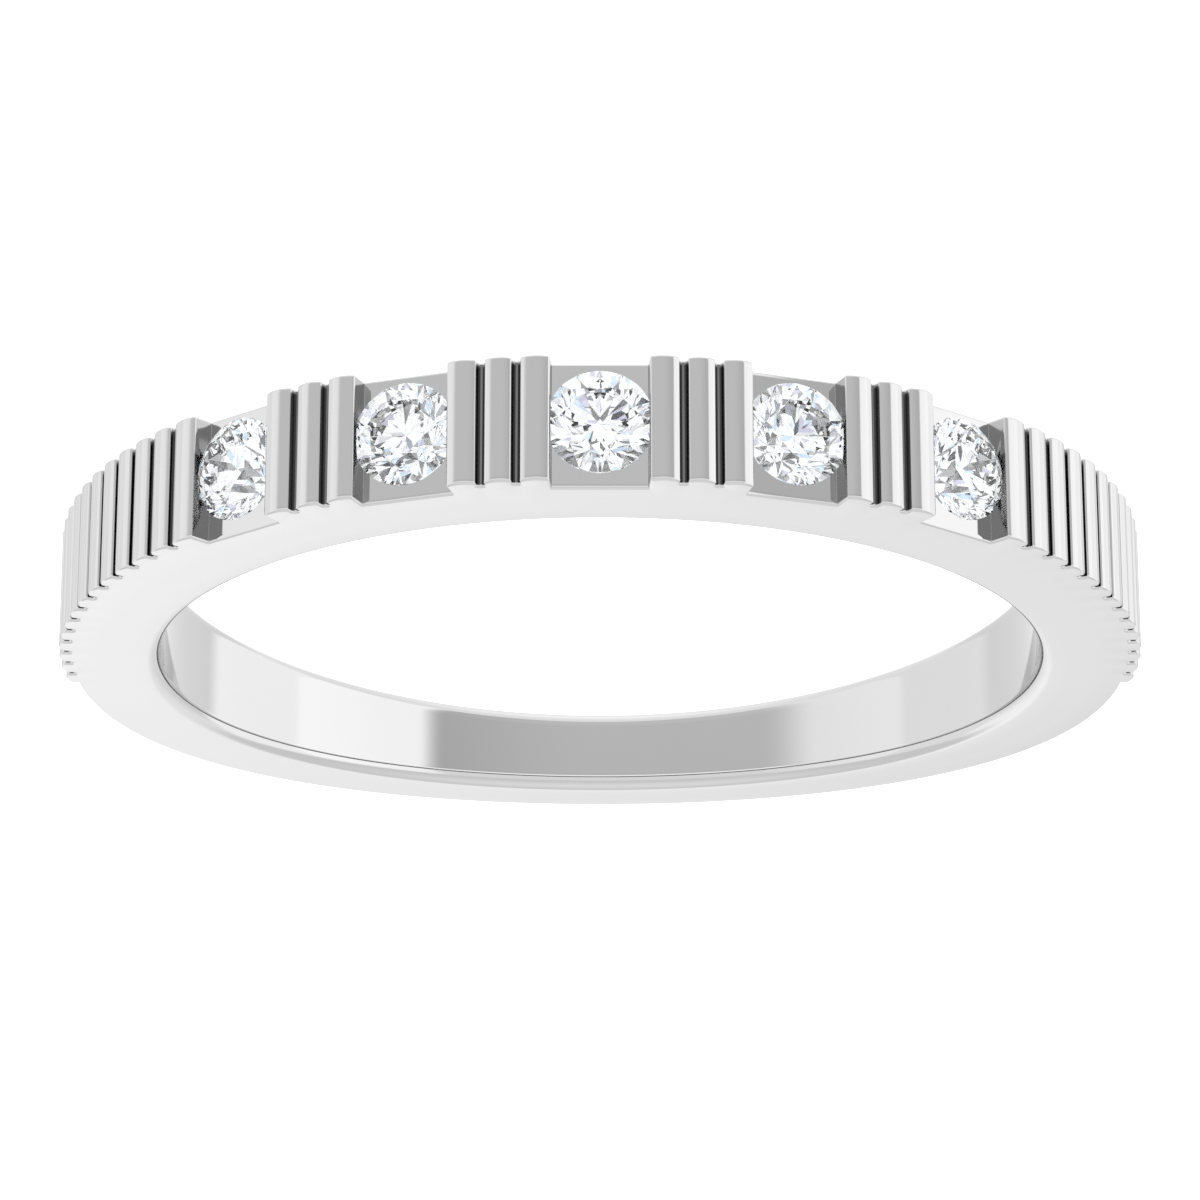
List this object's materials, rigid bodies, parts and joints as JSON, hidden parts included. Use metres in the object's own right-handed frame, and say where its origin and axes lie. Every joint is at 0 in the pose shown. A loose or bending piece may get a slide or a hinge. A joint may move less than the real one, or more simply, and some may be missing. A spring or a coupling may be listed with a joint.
{
  "type": "stacking ring",
  "caption": "Polished white metal stacking ring with round brilliant stones in flat seats, cross ribs over the top and shoulders, and a plain narrowing shank.",
  "frame": {"origin": "middle of the finger hole, halfway through the band's width", "axes": "+Z along the finger, out of the band's upper side as the ring lies; the stones face -Y; +X to the right seen from the stones"},
  "size_m": [0.0212, 0.0212, 0.0024],
  "materials": {
    "metal": "polished",
    "stone": "clear, faceted and polished"
  },
  "bodies": {
    "root": {"band": "metal", "stone_1": "stone", "stone_2": "stone", "stone_3": "stone", "stone_4": "stone", "stone_5": "stone"}
  },
  "joints": []
}
